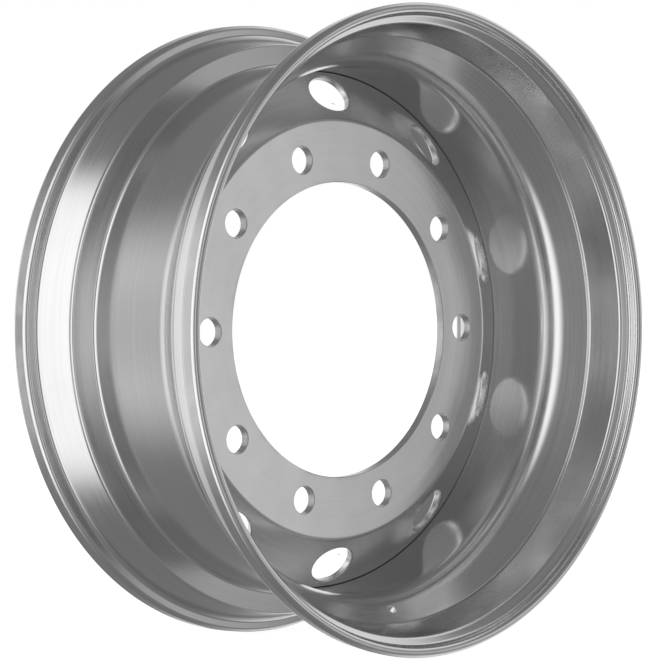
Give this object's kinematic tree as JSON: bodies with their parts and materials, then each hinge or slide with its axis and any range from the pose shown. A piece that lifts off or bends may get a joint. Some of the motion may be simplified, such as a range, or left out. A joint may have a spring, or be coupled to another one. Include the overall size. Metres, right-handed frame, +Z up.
{
  "type": "steel truck wheel",
  "caption": "Bare tubeless steel truck wheel: drop-centre rim with rolled lips, and a pressed disc with centre bore, stud holes and oval hand holes, welded into the well.",
  "frame": {"origin": "the wheel's centre: on the axle line, in the mid plane of the rim", "axes": "+Y is the axle and points inboard, to the hub; -Y is the outer side with the recessed mounting face; +Z is up, with the valve hole at the bottom; +X completes the frame"},
  "size_m": [0.5964, 0.2496, 0.5962],
  "materials": {
    "rim_steel": "bright rolled steel, satin to mirror",
    "disc_steel": "bright pressed steel, satin",
    "weld_steel": "rippled weld bead"
  },
  "bodies": {
    "root": {"rim": "rim_steel", "wheel_disc": "disc_steel", "disc_weld": "weld_steel"}
  },
  "joints": []
}
